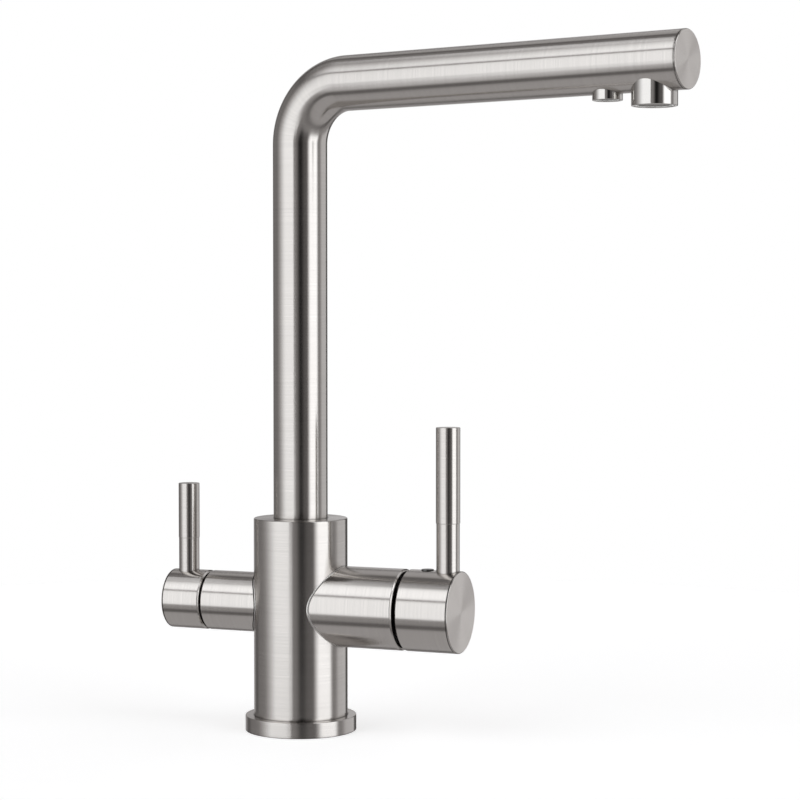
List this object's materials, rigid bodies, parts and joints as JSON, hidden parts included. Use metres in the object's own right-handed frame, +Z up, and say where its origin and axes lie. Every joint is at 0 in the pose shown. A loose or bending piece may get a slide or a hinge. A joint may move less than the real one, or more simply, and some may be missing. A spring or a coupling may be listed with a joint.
{
  "type": "drinking water filter tap",
  "caption": "Deck-mounted kitchen tap with an L-shaped swivel spout, a mixer lever, a filtered-water lever and a separate outlet for each.",
  "frame": {"origin": "centre of the deck face, at the mouth of the fixing stud's thread", "axes": "+Z up the column, +X along the mixer arm, -X along the filter arm, -Y towards the user"},
  "size_m": [0.291, 0.0843, 0.346],
  "materials": {
    "brushed_steel": "fine brushed, satin",
    "polished_steel": "polished",
    "dark_steel": "dark, satin",
    "brass": "machined",
    "ceramic": "lapped",
    "rubber": "matte",
    "plastic": "moulded"
  },
  "bodies": {
    "tap_body": {"base_gasket": "rubber", "base_flange": "brushed_steel", "body_shell": "brushed_steel", "valve_block": "brass", "waterway_plug": "brass", "spout_glide_ring": "plastic", "spout_lock_screw": "dark_steel", "mixer_valve_socket": "brass", "mixer_arm_sleeve": "brushed_steel", "mixer_cartridge_seals": "rubber", "mixer_cartridge_base": "plastic", "mixer_fixed_disc": "ceramic", "mixer_cartridge_housing": "plastic", "cartridge_nut": "brass", "filter_valve_socket": "brass", "filter_arm_sleeve": "brushed_steel", "filter_valve_seal": "rubber", "filter_fixed_disc": "ceramic", "filter_valve_housing": "brass", "filtered_tube_o_ring": "rubber"},
    "spout": {"spout_tube": "brushed_steel", "spout_end_cap": "brushed_steel", "spout_shank": "brass", "spout_o_rings": "rubber", "filtered_water_tube": "brushed_steel", "main_outlet_collar": "polished_steel", "main_aerator_housing": "plastic", "main_aerator_screen": "dark_steel", "main_aerator_washer": "rubber", "filter_outlet_collar": "polished_steel", "filter_aerator_insert": "plastic", "filter_aerator_screen": "dark_steel", "filter_outlet_washer": "rubber"},
    "mixer_turret": {"mixer_cartridge_turret": "plastic", "mixer_pivot_pin": "dark_steel"},
    "mixer_disc": {"mixer_moving_disc": "ceramic"},
    "mixer_handle": {"mixer_stem": "dark_steel", "mixer_handle_cap": "brushed_steel", "mixer_lever_rod": "brushed_steel", "mixer_lever_grip": "brushed_steel", "mixer_grub_screw": "dark_steel", "mixer_screw_plug": "dark_steel"},
    "filter_handle": {"filter_spindle": "dark_steel", "filter_spindle_o_ring": "rubber", "filter_spindle_clip": "dark_steel", "filter_moving_disc": "ceramic", "filter_handle_cap": "brushed_steel", "filter_lever_rod": "brushed_steel", "filter_lever_grip": "brushed_steel", "filter_grub_screw": "dark_steel"}
  },
  "joints": [
    {"name": "spout_swivel", "type": "hinge", "parent": "tap_body", "child": "spout", "pos_m": [0, 0, 0.1], "axis": [0, 0, 1], "continuous": true},
    {"name": "mixer_turn", "type": "hinge", "parent": "tap_body", "child": "mixer_turret", "pos_m": [0.0434, 0, 0.065], "axis": [1, 0, 0], "range_deg": [-45, 45]},
    {"name": "mixer_tilt", "type": "hinge", "parent": "mixer_turret", "child": "mixer_handle", "pos_m": [0.0434, 0, 0.065], "axis": [0, 1, 0], "range_deg": [0, 20]},
    {"name": "mixer_disc_slide", "type": "slide", "parent": "mixer_turret", "child": "mixer_disc", "axis": [0, 0, 1], "range_m": [0, 0.0029]},
    {"name": "filter_turn", "type": "hinge", "parent": "tap_body", "child": "filter_handle", "pos_m": [-0.04, 0, 0.065], "axis": [1, 0, 0], "range_deg": [0, 90]}
  ],
  "couplings": [
    {"joint": "mixer_disc_slide", "follows": "mixer_tilt", "m_per_rad": 0.0081}
  ]
}
